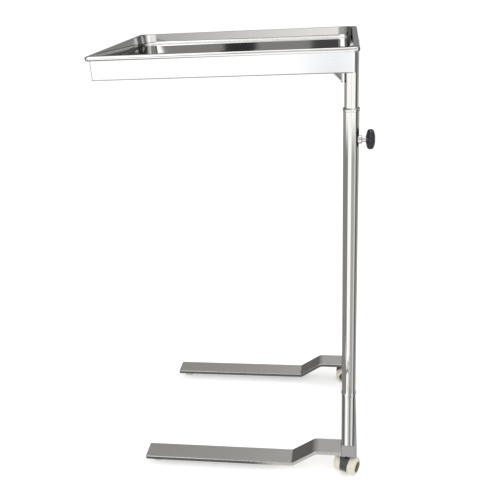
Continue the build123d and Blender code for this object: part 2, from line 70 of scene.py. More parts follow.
class Signal:
    """A socket's value, which Python's operators carry on through Math nodes."""

    def __init__(self, graph: "Graph", socket: bpy.types.NodeSocket | None) -> None:
        """Keeps the socket and the graph that new nodes go into."""
        self.graph = graph
        self.socket = socket

    def other(self, name: str) -> "Signal":
        """Returns another output of the same node."""
        return Signal(self.graph, self.socket.node.outputs[name])

    def __add__(self, value: "Value") -> "Signal":
        """Returns self + value."""
        return self.graph.maths("ADD", self, value)

    def __radd__(self, value: "Value") -> "Signal":
        """Returns value + self."""
        return self.graph.maths("ADD", value, self)

    def __sub__(self, value: "Value") -> "Signal":
        """Returns self - value."""
        return self.graph.maths("SUBTRACT", self, value)

    def __rsub__(self, value: "Value") -> "Signal":
        """Returns value - self."""
        return self.graph.maths("SUBTRACT", value, self)

    def __mul__(self, value: "Value") -> "Signal":
        """Returns self * value."""
        return self.graph.maths("MULTIPLY", self, value)

    def __rmul__(self, value: "Value") -> "Signal":
        """Returns value * self."""
        return self.graph.maths("MULTIPLY", value, self)

    def __abs__(self) -> "Signal":
        """Returns the size of self without its sign."""
        return self.graph.maths("ABSOLUTE", self)

    def rise(self, low: float, high: float) -> "Signal":
        """Eases from 0 to 1 as the signal goes from low to high.

        Args:
            low: where the result is 0.
            high: where the result is 1.

        Returns:
            The eased signal.
        """
        return self.graph.add(
            "ShaderNodeMapRange",
            {"interpolation_type": "SMOOTHSTEP"},
            {"Value": self, "From Min": low, "From Max": high},
        )

    def window(self, edges: Edges) -> "Signal":
        """Eases from 0 to 1 and back as the signal goes through a window.

        Args:
            edges: where it starts to rise, has risen, starts to fall and has fallen.

        Returns:
            The eased signal.
        """
        start, risen, falling, end = edges
        return self.rise(start, risen) * (1.0 - self.rise(falling, end))


Value = Union[Signal, float, Sequence[float]]


@dataclass(frozen=True)
class Pattern:
    """A noise, by its scale, its detail and its roughness."""

    scale: float
    detail: float
    rough: float


class Graph:
    """Writes the nodes of one material or world."""

    def __init__(self, owner: Union[bpy.types.Material, bpy.types.World]) -> None:
        """Empties the owner's tree, ready for new nodes.

        Args:
            owner: the material or world that the nodes go into.
        """
        owner.use_nodes = True
        self.tree = owner.node_tree
        self.tree.nodes.clear()

    def add(
        self,
        kind: str,
        settings: dict[str, Any] | None = None,
        inputs: dict[Union[str, int], Value] | None = None,
        output: Union[str, int] = 0,
    ) -> Signal:
        """Adds a node, sets it up, and then fills or links its sockets.

        Args:
            kind: the node's type.
            settings: its own settings; "stops" are a ramp's (place, colour) pairs.
            inputs: a value or a signal for each named socket.
            output: the output to return.

        Returns:
            The node's chosen output, which is empty for an output node.
        """
        node = self.tree.nodes.new(kind)
        for key, value in (settings or {}).items():
            if key == "stops":
                self._set_stops(node.color_ramp, value)
            else:
                setattr(node, key, value)
        for key, value in (inputs or {}).items():
            if isinstance(value, Signal):
                self.tree.links.new(value.socket, node.inputs[key])
            else:
                node.inputs[key].default_value = value
        return Signal(self, node.outputs[output] if node.outputs else None)

    @staticmethod
    def _set_stops(ramp: bpy.types.ColorRamp, stops: Sequence[tuple[float, Colour]]) -> None:
        """Gives a ramp exactly the stops named.

        Args:
            ramp: a new ramp, which has two stops.
            stops: its (place, colour) pairs, two or more.
        """
        while len(ramp.elements) < len(stops):
            ramp.elements.new(1.0)
        for element, (place, colour) in zip(ramp.elements, stops):
            element.position = place
            element.color = rgba(colour)

    def maths(self, operation: str, first: Value, second: Value | None = None) -> Signal:
        """Adds one Math node and returns its result."""
        inputs = {0: first} if second is None else {0: first, 1: second}
        return self.add("ShaderNodeMath", {"operation": operation}, inputs)

    def blend(self, share: Value, first: Value, second: Value) -> Signal:
        """Mixes two colours and returns the result."""
        return self.add("ShaderNodeMix", {"data_type": "RGBA"}, {0: share, 6: first, 7: second}, 2)

    def place(self) -> Signal:
        """Returns the point on the piece, which moves along with it."""
        return self.add("ShaderNodeTexCoord", output="Object")

    def parts(self, vector: Signal) -> Signal:
        """Returns a vector's X, whose other outputs are Y and Z."""
        return self.add("ShaderNodeSeparateXYZ", {}, {0: vector})

    def stretched(self, vector: Signal, scale: Colour) -> Signal:
        """Returns a vector multiplied axis by axis."""
        return self.add("ShaderNodeVectorMath", {"operation": "MULTIPLY"}, {0: vector, 1: scale})

    def noise(self, vector: Signal, pattern: Pattern) -> Signal:
        """Adds a noise.

        Args:
            vector: where it is read.
            pattern: what it looks like.

        Returns:
            The noise, from 0 to 1.
        """
        return self.add(
            "ShaderNodeTexNoise",
            {"noise_dimensions": "3D"},
            {
                "Vector": vector,
                "Scale": pattern.scale,
                "Detail": pattern.detail,
                "Roughness": pattern.rough,
            },
        )


def rgba(colour: Colour) -> tuple[float, float, float, float]:
    """Returns a colour with full alpha."""
    return (*colour, 1.0)


def shade(colour: Colour, factor: float) -> tuple[float, float, float, float]:
    """Returns a colour made darker or lighter, with full alpha."""
    return rgba(tuple(min(1.0, c * factor) for c in colour))


class Grain(Enum):
    """Ways the polishing lines run, as the scale of a noise along each axis."""

    ALONG_X = (2.0, 60.0, 60.0)
    ALONG_Y = (60.0, 2.0, 60.0)
    ALONG_Z = (60.0, 60.0, 1.5)
    NONE = (14.0, 14.0, 14.0)


@dataclass(frozen=True)
class Steel:
    """Polished or brushed metal with polishing lines, handling marks and fine scratches.

    Flank and ends are the shares of colour kept by faces looking along Y and along X; the rest is
    painted shade.
    """

    name: str
    colour: Colour
    roughness: float
    grain: Grain
    grain_depth: float = 0.15
    streak: float = 0.06
    smudge: float = 0.06
    # flank and ends: shares of the colour kept under painted shade on faces looking along Y and
    # along X
    flank_shade_kept: float = 1.0
    ends: float = 1.0
    fine_lines: Pattern = Pattern(scale=22.0, detail=5.0, rough=0.65)
    broad_lines: Pattern = Pattern(scale=3.96, detail=2.0, rough=0.5)
    smears: Pattern = Pattern(scale=9.0, detail=3.0, rough=0.55)
    smear_span: Span = (0.42, 0.75)
    marks: Pattern = Pattern(scale=38.0, detail=4.0, rough=0.6)
    mark_span: Span = (0.56, 0.72)
    flank_shade_span: Span = (0.6, 0.95)
    end_shade_span: Span = (0.35, 0.75)
    dark_streak: float = 0.86
    light_streak: float = 1.12
    smeared: float = 0.7
    # the tone that the painted shade darkens faces looking along Y and along X towards
    painted_shade_tone: float = 0.1
    smoothest: float = 0.7
    line_roughness: float = 0.6
    mark_roughness: float = 0.5
    mark_height: float = 0.15
    relief: float = 0.3 * MM

    def make(self) -> bpy.types.Material:
        """Builds the material.

        Returns:
            The new material.
        """
        material = bpy.data.materials.new(self.name)
        graph = Graph(material)
        place = graph.place()
        drawn = graph.stretched(place, self.grain.value)
        lines = graph.noise(drawn, self.fine_lines)
        broad = graph.noise(drawn, self.broad_lines)
        smears = graph.noise(place, self.smears).rise(*self.smear_span)
        marks = graph.noise(place, self.marks).rise(*self.mark_span)
        tone = (lines - 0.5) * self.streak * 2.0 + (broad - 0.5) * self.streak + 0.5
        colour = graph.blend(
            tone, shade(self.colour, self.dark_streak), shade(self.colour, self.light_streak)
        )
        colour = graph.blend(smears * self.smudge, colour, shade(self.colour, self.smeared))
        colour = self._painted_shade(graph, colour)
        polish = self.roughness * (self.smoothest + lines * self.line_roughness)
        worn = smears * self.smudge + marks * self.smudge * self.mark_roughness
        bump = graph.add(
            "ShaderNodeBump",
            {},
            {
                "Strength": self.grain_depth,
                "Distance": self.relief,
                "Height": lines + marks * self.mark_height,
            },
        )
        shader = graph.add(
            "ShaderNodeBsdfPrincipled",
            {},
            {"Base Color": colour, "Metallic": 1.0, "Roughness": polish + worn, "Normal": bump},
        )
        graph.add("ShaderNodeOutputMaterial", {}, {"Surface": shader})
        return material

    def _painted_shade(self, graph: Graph, colour: Signal) -> Signal:
        """Paints shade on the faces that look along Y and along X, by their direction in the
        world.

        Args:
            graph: the material's graph.
            colour: the colour so far.

        Returns:
            The colour, with painted shade where the finish asks for it.
        """
        sides = (("Y", self.flank_shade_span, self.flank_shade_kept), ("X", self.end_shade_span, self.ends))
        for axis, span, kept in sides:
            if kept < 1.0:
                normal = graph.parts(graph.add("ShaderNodeNewGeometry", output="Normal"))
                facing = abs(normal.other(axis)).rise(*span)
                # painted shade: faces looking along this axis are darkened towards this tone
                dark = shade(self.colour, self.painted_shade_tone)
                colour = graph.blend(facing * (1.0 - kept), colour, dark)
        return colour


@dataclass(frozen=True)
class Plastic:
    """Moulded plastic or nylon with a fine mould texture, flow tint and rubbed spots."""

    name: str
    colour: Colour
    roughness: float
    texture: float = 0.12
    texture_scale: float = 900.0
    tint: Colour = (0.5, 0.45, 0.38)
    tint_share: float = 0.12
    flow: Pattern = Pattern(scale=60.0, detail=4.0, rough=0.6)
    grime_span: Span = (0.5, 0.8)
    dark_flow: float = 0.93
    light_flow: float = 1.06
    grit_roughness: float = 0.08
    grime_roughness: float = 0.1
    relief: float = 0.2 * MM
    refraction: float = 1.5

    def make(self) -> bpy.types.Material:
        """Builds the material.

        Returns:
            The new material.
        """
        material = bpy.data.materials.new(self.name)
        graph = Graph(material)
        place = graph.place()
        grit = graph.noise(place, Pattern(scale=self.texture_scale, detail=2.0, rough=0.6))
        flow = graph.noise(place, self.flow)
        grime = flow.rise(*self.grime_span)
        body = graph.blend(
            flow, shade(self.colour, self.dark_flow), shade(self.colour, self.light_flow)
        )
        colour = graph.blend(grime * self.tint_share, body, rgba(self.tint))
        gritty = self.roughness + (grit - 0.5) * self.grit_roughness
        bump = graph.add(
            "ShaderNodeBump",
            {},
            {"Strength": self.texture, "Distance": self.relief, "Height": grit},
        )
        shader = graph.add(
            "ShaderNodeBsdfPrincipled",
            {},
            {
                "Base Color": colour,
                "Roughness": gritty + grime * self.grime_roughness,
                "Normal": bump,
                "IOR": self.refraction,
            },
        )
        graph.add("ShaderNodeOutputMaterial", {}, {"Surface": shader})
        return material


Finish = Union[Steel, Plastic]

# ends: painted shade on the tray's faces that look along X
TRAY_STEEL = Steel(
    "polished_tray", (0.64, 0.64, 0.635), roughness=0.035, grain=Grain.ALONG_X,
    grain_depth=0.004, smudge=0.01, ends=0.3,
)
# ends: painted shade on the frame's faces that look along X
FRAME_STEEL = Steel(
    "brushed_frame", (0.72, 0.73, 0.745), roughness=0.15, grain=Grain.ALONG_X,
    grain_depth=0.012, smudge=0.02, ends=0.5,
)
# The hem's dark colour is painted shade along the bottom edge of the skirt.
HEM_SHADE_STEEL = Steel(
    "hem_edge_painted_shade", (0.30, 0.30, 0.295), roughness=0.3, grain=Grain.ALONG_X,
    grain_depth=0.02,
)
ARM_STEEL = Steel(
    "brushed_arm", (0.66, 0.66, 0.65), roughness=0.30, grain=Grain.ALONG_X,
    grain_depth=0.12,
)
TUBE_STEEL = Steel(
    "drawn_tube", (0.65, 0.645, 0.635), roughness=0.03, grain=Grain.ALONG_Z,
    grain_depth=0.006, streak=0.05, smudge=0.01,
)
POST_STEEL = Steel(
    "polished_post", (0.64, 0.635, 0.63), roughness=0.03, grain=Grain.ALONG_Z,
    grain_depth=0.006, streak=0.04, smudge=0.01,
)
# flank: painted shade on the legs' faces that look along Y
LEG_STEEL = Steel(
    "satin_bar", (0.58, 0.57, 0.555), roughness=0.20, grain=Grain.ALONG_X,
    grain_depth=0.03, smudge=0.03, flank_shade_kept=0.55,
)
BAR_STEEL = Steel(
    "polished_bar", (0.62, 0.615, 0.61), roughness=0.02, grain=Grain.ALONG_Y,
    grain_depth=0.002, smudge=0.008,
)
# flank: painted shade on the caps' faces that look along Y
CAP_STEEL = Steel(
    "satin_cap", (0.40, 0.40, 0.405), roughness=0.20, grain=Grain.NONE,
    grain_depth=0.02, flank_shade_kept=0.62,
)
TRIM = Steel(
    "bright_plate", (0.60, 0.60, 0.60), roughness=0.07, grain=Grain.NONE,
    grain_depth=0.01,
)
HARDWARE = Steel(
    "plain_steel", (0.55, 0.55, 0.54), roughness=0.32, grain=Grain.NONE,
    grain_depth=0.10,
)
BEAD_STEEL = Steel(
    "weld_bead", (0.62, 0.61, 0.60), roughness=0.28, grain=Grain.NONE,
    grain_depth=0.05,
)
GUSSET_STEEL = Steel(
    "pressed_bracket", (0.50, 0.505, 0.51), roughness=0.25, grain=Grain.NONE,
    grain_depth=0.02,
)
# The web's dark colour is painted shade, for the web recessed behind the flanges.
WEB_SHADE_STEEL = Steel(
    "bracket_web_painted_shade", (0.26, 0.26, 0.25), roughness=0.35, grain=Grain.NONE,
    grain_depth=0.03,
)
BRASS = Steel(
    "turned_brass", (0.72, 0.52, 0.24), roughness=0.24, grain=Grain.NONE,
    grain_depth=0.08,
)
NYLON = Plastic("white_nylon", (0.80, 0.80, 0.77), roughness=0.45)
KNOB_BLACK = Plastic(
    "knob_black", (0.012, 0.015, 0.021), roughness=0.24, texture=0.012,
    texture_scale=1200.0, tint=(0.05, 0.06, 0.08), tint_share=0.15,
)
CASTER_BLACK = Plastic(
    "caster_black", (0.020, 0.022, 0.026), roughness=0.28, texture=0.15,
    texture_scale=900.0, tint=(0.14, 0.14, 0.13), tint_share=0.2,
)
CREAM = Plastic(
    "cream_nylon", (0.80, 0.755, 0.63), roughness=0.33, texture=0.06,
    texture_scale=700.0, tint=(0.36, 0.32, 0.24), tint_share=0.25,
)
# Olive of the hub caps; on the rings in the hub recesses the same colour is painted shade.
OLIVE_AND_RECESS_SHADE = Plastic(
    "olive_cap_and_recess_shade", (0.20, 0.165, 0.085), roughness=0.40, texture=0.15,
    texture_scale=800.0, tint=(0.08, 0.07, 0.05), tint_share=0.3,
)


@dataclass
class Wardrobe:
    """Makes each finish once and puts it on CAD nodes and new pieces."""

    nodes: dict[str, bpy.types.Object]
    made: dict[str, bpy.types.Material] = field(default_factory=dict)

    def material(self, finish: Finish) -> bpy.types.Material:
        """Gives the material of a finish, which is made the first time.

        Args:
            finish: the finish asked for.

        Returns:
            Its material.
        """
        if finish.name not in self.made:
            self.made[finish.name] = finish.make()
        return self.made[finish.name]

    def dress_node(self, name: str, finish: Finish) -> None:
        """Puts a finish on every material slot of a CAD node.

        Args:
            name: the CAD node's name.
            finish: what it is finished in.
        """
        for material_slot in self.nodes[name].material_slots:
            material_slot.material = self.material(finish)
        LOG.info("%s dressed in %s", name, finish.name)

    def dress_piece(self, piece: bpy.types.Object, finish: Finish, slot: str, body: str) -> None:
        """Puts a finish on a new piece and lets it ride on a body.

        Args:
            piece: the new object, already in place.
            finish: what it is finished in.
            slot: the record's material slot; not used.
            body: the CAD body it moves with.
        """
        piece.data.materials.append(self.material(finish))
        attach(piece, body)
        LOG.info("%s built on %s", piece.name, body)


def finish_mesh(name: str, mesh: bmesh.types.BMesh, smooth: bool) -> bpy.types.Object:
    """Turns a working mesh into an object of the scene.

    Args:
        name: the object's name.
        mesh: the working mesh, which is freed.
        smooth: whether its faces are shaded smooth.

    Returns:
        The new object.
    """
    bmesh.ops.recalc_face_normals(mesh, faces=mesh.faces)
    data = bpy.data.meshes.new(name)
    mesh.to_mesh(data)
    mesh.free()
    if smooth:
        data.shade_smooth()
    piece = bpy.data.objects.new(name, data)
    bpy.context.scene.collection.objects.link(piece)
    return piece


def bridge(
    mesh: bmesh.types.BMesh,
    first: Sequence[bmesh.types.BMVert],
    second: Sequence[bmesh.types.BMVert],
) -> list[bmesh.types.BMFace]:
    """Joins two rings of vertices with a band of faces.

    Args:
        mesh: the working mesh.
        first: one ring.
        second: the other, with as many vertices.

    Returns:
        The new faces.
    """
    faces = []
    for step in range(len(first)):
        after = (step + 1) % len(first)
        faces.append(mesh.faces.new((first[step], first[after], second[after], second[step])))
    return faces


def middle_of(node: str) -> Vector:
    """Returns the middle of a CAD node's box."""
    low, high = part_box(node)
    return (low + high) / 2


def arc(centre: Vector, radius: float, angles: Sequence[float]) -> list[Vector]:
    """Returns points on a level arc.

    Args:
        centre: the arc's centre.
        radius: its radius.
        angles: where the points lie, in degrees from X towards Y.

    Returns:
        The points, in the order of the angles.
    """
    points = []
    for angle in map(math.radians, angles):
        x = centre.x + radius * math.cos(angle)
        points.append(Vector((x, centre.y + radius * math.sin(angle), centre.z)))
    return points


@dataclass
class Bead:
    """A round bead of metal along a path, rippled like a weld or plain like a hem."""

    name: str
    path: Sequence[Vector]
    radius: float = 1.1 * MM
    ripple: float = 1.3 * MM
    swelling: float = 0.10
    ripple_points: int = 4
    ring_points: int = 10
    tip: float = 0.55
    tip_points: int = 3

    def build(self) -> bpy.types.Object:
        """Builds the bead.

        Returns:
            The new object.
        """
        points = self._spaced()
        mesh = bmesh.new()
        rings = []
        for index, point in enumerate(points):
            ahead = points[min(index + 1, len(points) - 1)]
            back = points[max(index - 1, 0)]
            along = (ahead - back).normalized()
            across = along.orthogonal().normalized()
            other = along.cross(across)
            radius = self.radius * self._swell(index, len(points) - 1)
            ring = []
            for step in range(self.ring_points):
                angle = FULL_TURN * step / self.ring_points
                offset = (across * math.cos(angle) + other * math.sin(angle)) * radius
                ring.append(mesh.verts.new(point + offset))
            rings.append(ring)
        for first, second in zip(rings, rings[1:]):
            bridge(mesh, first, second)
        mesh.faces.new(list(reversed(rings[0])))
        mesh.faces.new(rings[-1])
        return finish_mesh(self.name, mesh, True)

    def _swell(self, index: int, last: int) -> float:
        """Gives the bead's thickness at a point, which tapers at both tips.

        Args:
            index: the point's number.
            last: the last point's number.

        Returns:
            The share of the bead's radius.
        """
        full = min(1.0, min(index, last - index) / self.tip_points)
        wave = math.sin(FULL_TURN * index / self.ripple_points)
        return (self.tip + (1.0 - self.tip) * full) * (1.0 + self.swelling * wave)

    def _spaced(self) -> list[Vector]:
        """Spaces points along the path, several to a ripple.

        Returns:
            The points.
        """
        step = self.ripple / self.ripple_points
        points = [self.path[0].copy()]
        for start, end in zip(self.path, self.path[1:]):
            count = max(1, round((end - start).length / step))
            points += [start.lerp(end, k / count) for k in range(1, count + 1)]
        return points


@dataclass
class Turned:
    """A ring turned about an axis from a closed profile of (along, radius) pairs."""

    name: str
    centre: Vector
    axis: Vector
    profile: Sequence[Span]
    steps: int = 56

    def build(self) -> bpy.types.Object:
        """Builds the ring.

        Returns:
            The new object.
        """
        across = self.axis.orthogonal().normalized()
        other = self.axis.cross(across)
        mesh = bmesh.new()
        rings = []
        for step in range(self.steps):
            angle = FULL_TURN * step / self.steps
            out = across * math.cos(angle) + other * math.sin(angle)
            points = [self.centre + self.axis * a + out * r for a, r in self.profile]
            rings.append([mesh.verts.new(point) for point in points])
        for first, second in zip(rings, rings[1:] + rings[:1]):
            bridge(mesh, first, second)
        return finish_mesh(self.name, mesh, True)


@dataclass
class Gusset:
    """The pressed bracket under the tray: a web with flanges along its slope and the post.

    Its foot stands clear of the column's collar, which it passes when the post is low.
    """

    corner: Vector
    middle: float
    reach: float = 45 * MM
    sheet: float = 2.5 * MM
    web: float = 2.0 * MM
    flange: float = 16 * MM
    clear: float = 3.1 * MM
    joined: float = 24 * MM
    broken_edge: float = 0.35 * MM
    edge_steps: int = 2

    def build(self) -> tuple[bpy.types.Object, bpy.types.Object]:
        """Builds the bracket.

        Returns:
            Its flanges and its web.
        """
        x, top = self.corner.x, self.corner.z
        slant = self.sheet * math.sqrt(2)
        foot, low = x - self.clear, top - self.reach + self.clear
        inner, joint = foot - self.sheet, top - self.joined
        head, heel = (x - self.reach, top), (foot, low)
        inside = bmesh.new()
        self._plate(inside, [(x, top), head, heel, (foot, joint), (x, joint)], self.web)
        web = finish_mesh("gusset_web", inside, False)
        mesh = bmesh.new()
        slope = [head, heel, (foot, low + slant), (head[0] + slant, top)]
        post_side = [(foot, top), (inner, top), (inner, low + self.sheet), heel]
        self._plate(mesh, slope, self.flange)
        self._plate(mesh, post_side, self.flange)
        return finish_mesh("gusset_flanges", mesh, False), web

    def _plate(
        self, mesh: bmesh.types.BMesh, outline: Sequence[tuple[float, float]], thick: float
    ) -> None:
        """Adds a plate of that outline, with its edges broken.

        Args:
            mesh: the working mesh.
            outline: its corners as (x, z).
            thick: its thickness along Y.
        """
        front = [mesh.verts.new((x, self.middle - thick / 2, z)) for x, z in outline]
        back = [mesh.verts.new((x, self.middle + thick / 2, z)) for x, z in outline]
        faces = [mesh.faces.new(front), mesh.faces.new(list(reversed(back)))]
        faces += bridge(mesh, back, front)
        edges = list(dict.fromkeys(edge for face in faces for edge in face.edges))
        bmesh.ops.bevel(
            mesh,
            geom=edges,
            offset=self.broken_edge,
            segments=self.edge_steps,
            profile=0.5,
            affect="EDGES",
        )


@dataclass
class KnobGrip:
    """A moulded knob with rounded-over lobes and a dished face, turned about X."""

    low: Vector
    high: Vector
    lobes: int = 10
    flute: float = 0.07
    flute_power: float = 1.6
    dish: float = 1.6 * MM
    dish_share: float = 0.36
    back_gap: float = 0.3 * MM
    crown_power: float = 3.0
    crown_root: float = 2.4
    flat_share: float = 0.42
    steps: int = 160
    rings: int = 22

    def build(self) -> bpy.types.Object:
        """Builds the knob.

        Returns:
            The new object.
        """
        back, face = self.low.x + self.back_gap, self.high.x
        middle, half = (back + face) / 2, (face - back) / 2
        mesh = bmesh.new()
        loops = []
        for ring in range(self.rings + 1):
            along = -math.cos(math.pi * ring / self.rings)
            crown = (1.0 - abs(along) ** self.crown_power) ** (1 / self.crown_root)
            loops.append(self._loop(mesh, middle + half * along, max(crown, self.flat_share)))
        loops.append(self._loop(mesh, face - self.dish, self.dish_share, fluted=False))
        for first, second in zip(loops, loops[1:]):
            bridge(mesh, first, second)
        mesh.faces.new(loops[0])
        mesh.faces.new(loops[-1])
        return finish_mesh("knob_grip", mesh, True)

    def _loop(
        self, mesh: bmesh.types.BMesh, x: float, size: float, fluted: bool = True
    ) -> list[bmesh.types.BMVert]:
        """Adds one ring of the knob.

        Args:
            mesh: the working mesh.
            x: the ring's place along the axis.
            size: the ring's share of the knob's radius.
            fluted: whether it follows the lobes.

        Returns:
            The ring's vertices.
        """
        centre = (self.low + self.high) / 2
        radius = (self.high.z - self.low.z) / 2 * size
        depth = self.flute * size if fluted else 0.0
        ring = []
        for step in range(self.steps):
            angle = FULL_TURN * step / self.steps
            wave = (0.5 - 0.5 * math.cos(self.lobes * angle)) ** self.flute_power
            reach = radius * (1.0 - depth * wave)
            y, z = centre.y + reach * math.sin(angle), centre.z + reach * math.cos(angle)
            ring.append(mesh.verts.new((x, y, z)))
        return ring


@dataclass
class Assembly:
    """A sub-assembly of the stand."""

    wardrobe: Wardrobe

    def finishes(self) -> dict[str, Finish]:
        """Returns the finish of each of its CAD nodes."""
        raise NotImplementedError

    def dress(self) -> None:
        """Puts the finishes on the CAD nodes."""
        for name, finish in self.finishes().items():
            self.wardrobe.dress_node(name, finish)

    def build(self) -> None:
        """Builds the pieces that the CAD doesn't have, where there are any."""


@dataclass
class Tray(Assembly):
    """The lift-off tray."""

    def finishes(self) -> dict[str, Finish]:
        """Returns the tray's finish."""
        return {"instrument_tray": TRAY_STEEL}


@dataclass
class Mast(Assembly):
    """The frame under the tray with the post that carries it."""

    hem_radius: float = 0.75 * MM
    hem_spacing: float = 12 * MM
    hem_height: float = 0.7 * MM
    hem_bend: float = 4 * MM
    hem_step: int = 15
    weld_radius: float = 1.0 * MM
    weld_drop: float = 0.5 * MM
    weld_angles: range = range(60, 301, 5)

    def finishes(self) -> dict[str, Finish]:
        """Gives the finishes of the frame, arm, bracket, post and glide.

        Returns:
            The finish of each CAD node.
        """
        return {
            "tray_frame": FRAME_STEEL,
            "support_arm": ARM_STEEL,
            "post_end_rails": ARM_STEEL,
            "far_end_rails": ARM_STEEL,
            "post_plate": ARM_STEEL,
            "gusset_bracket": FRAME_STEEL,
            "inner_post": POST_STEEL,
            "post_glide": NYLON,
        }

    def build(self) -> None:
        """Builds the bracket, the skirt's hem and the weld round the post."""
        low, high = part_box("gusset_bracket")
        flanges, web = Gusset(high, (low.y + high.y) / 2).build()
        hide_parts("gusset_bracket")
        self.wardrobe.dress_piece(flanges, GUSSET_STEEL, "frame_steel", "mast")
        # the web's dark colour is painted shade in the bracket's recess
        self.wardrobe.dress_piece(web, WEB_SHADE_STEEL, "frame_steel", "mast")
        hem = Bead(
            "skirt_hem", self._hem_path(), self.hem_radius, ripple=self.hem_spacing, swelling=0.0
        ).build()
        # the hem's dark colour is painted shade along the skirt's bottom edge
        self.wardrobe.dress_piece(hem, HEM_SHADE_STEEL, "frame_steel", "mast")
        post_low, post_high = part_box("inner_post")
        centre = (post_low + post_high) / 2
        centre.z = high.z - self.weld_drop
        radius = (post_high.y - post_low.y) / 2
        ring = arc(centre, radius, self.weld_angles)
        weld = Bead("post_weld", ring, self.weld_radius).build()
        self.wardrobe.dress_piece(weld, BEAD_STEEL, "post_steel", "mast")

    def _hem_path(self) -> list[Vector]:
        """Finds the path along the bottom of the skirt, round its two far corners.

        Returns:
            The path's points.
        """
        low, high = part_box("tray_frame")
        bend, height = self.hem_bend, low.z + self.hem_height
        near = Vector((low.x + bend, low.y + bend, height))
        far = Vector((low.x + bend, high.y - bend, height))
        return [
            Vector((high.x - bend, low.y, height)),
            *arc(near, bend, range(270, 179, -self.hem_step)),
            *arc(far, bend, range(180, 89, -self.hem_step)),
            Vector((high.x - bend, high.y, height)),
        ]


@dataclass
class Clamp(Assembly):
    """The knob, its screw and the shoe that holds the post."""

    def finishes(self) -> dict[str, Finish]:
        """Gives the finishes of the clamp's pieces.

        Returns:
            The finish of each CAD node.
        """
        return {
            "clamp_boss": TRIM,
            "clamp_screw": TRIM,
            "clamp_knob": KNOB_BLACK,
            "knob_insert": BRASS,
            "pressure_pad": BRASS,
        }

    def build(self) -> None:
        """Builds the knob's moulded grip."""
        grip = KnobGrip(*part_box("clamp_knob")).build()
        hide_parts("clamp_knob")
        self.wardrobe.dress_piece(grip, KNOB_BLACK, "knob_black", "knob")


@dataclass
class Base(Assembly):
    """The column, the crossbar, the legs and the feet."""

    seam_inset: float = 2 * MM

    def finishes(self) -> dict[str, Finish]:
        """Gives the finishes of the base's pieces.

        Returns:
            The finish of each CAD node.
        """
        finishes = {
            "column": TUBE_STEEL,
            "column_liner": NYLON,
            "column_collar": TRIM,
            "foot_ring": TRIM,
            "column_plug": HARDWARE,
            "column_washer": HARDWARE,
            "column_bolt": HARDWARE,
            "crossbar": BAR_STEEL,
            "front_end_cap": CAP_STEEL,
            "rear_end_cap": CAP_STEEL,
        }
        for place in ("front", "rear"):
            finishes[f"{place}_leg"] = LEG_STEEL
            finishes[f"{place}_foot"] = NYLON
            finishes[f"{place}_foot_screw"] = HARDWARE
            finishes[f"{place}_caster_socket"] = HARDWARE
        return finishes

    def build(self) -> None:
        """Builds the weld beads between the legs and the crossbar."""
        bar_low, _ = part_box("crossbar")
        for place in ("front", "rear"):
            low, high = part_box(f"{place}_leg")
            ends = (low.y + self.seam_inset, high.y - self.seam_inset)
            seam = [Vector((bar_low.x, y, high.z)) for y in ends]
            bead = Bead(f"{place}_leg_weld", seam).build()
            self.wardrobe.dress_piece(bead, BEAD_STEEL, "leg_steel", "base")


@dataclass
class Caster(Assembly):
    """One twin-wheel caster.

    The profile of the dark ring in each hub recess, whose olive-brown colour is painted shade, is
    given as millimetres along the axle and out from it.
    """

    place: str
    shade_ring: Profile = (
        (24.45, 12.25), (19.6, 9.45), (19.6, 8.9), (21.5, 9.5), (24.2, 11.3), (24.6, 11.7),
    )

    def finishes(self) -> dict[str, Finish]:
        """Gives the finishes of the caster's pieces.

        Returns:
            The finish of each CAD node.
        """
        finishes = {
            "caster_stem": HARDWARE,
            "caster_centre": CASTER_BLACK,
            "caster_hood": CASTER_BLACK,
            "caster_axle": HARDWARE,
            "wheel_left": CREAM,
            "wheel_right": CREAM,
            "hub_cap_left": OLIVE_AND_RECESS_SHADE,
            "hub_cap_right": OLIVE_AND_RECESS_SHADE,
        }
        return {f"{self.place}_{name}": finish for name, finish in finishes.items()}

    def build(self) -> None:
        """Builds a brown ring in each wheel's hub recess, as painted shade of the recess."""
        caps = {side: middle_of(f"{self.place}_hub_cap_{side}") for side in ("left", "right")}
        centre = (caps["left"] + caps["right"]) / 2
        profile = [(along * MM, radius * MM) for along, radius in self.shade_ring]
        for side, cap in caps.items():
            axis = (cap - centre).normalized()
            shade_ring = Turned(f"{self.place}_hub_shade_ring_{side}", centre, axis, profile).build()
            # the ring's olive-brown colour is painted shade in the hub recess
            self.wardrobe.dress_piece(shade_ring, OLIVE_AND_RECESS_SHADE, "hub_olive", f"{self.place}_{side}_wheel")


@dataclass
class Camera:
    """The camera at the photograph's place: metres, degrees, and millimetres for the lens."""

    place: Vector = field(default_factory=lambda: Vector((0.19455, -1.31607, 1.02880)))
    yaw: float = -8.74
    pitch: float = 23.62
    roll: float = -3.22
    lens: float = 47.9
    sensor: float = 36.0

    def build(self) -> None:
        """Makes the camera and sets it on the scene."""
        yaw, pitch, roll = (math.radians(v) for v in (self.yaw, self.pitch, self.roll))
        flat = math.cos(pitch)
        ahead = Vector((math.sin(yaw) * flat, math.cos(yaw) * flat, -math.sin(pitch)))
        level = Vector((math.cos(yaw), -math.sin(yaw), 0.0))
        above = level.cross(ahead)
        right = level * math.cos(roll) + above * math.sin(roll)
        top = above * math.cos(roll) - level * math.sin(roll)
        data = bpy.data.cameras.new("camera")
        data.lens = self.lens
        data.sensor_width = self.sensor
        camera = bpy.data.objects.new("camera", data)
        turn = Matrix((right, top, -ahead)).transposed()
        camera.matrix_world = Matrix.Translation(self.place) @ turn.to_4x4()
        bpy.context.scene.collection.objects.link(camera)
        bpy.context.scene.camera = camera


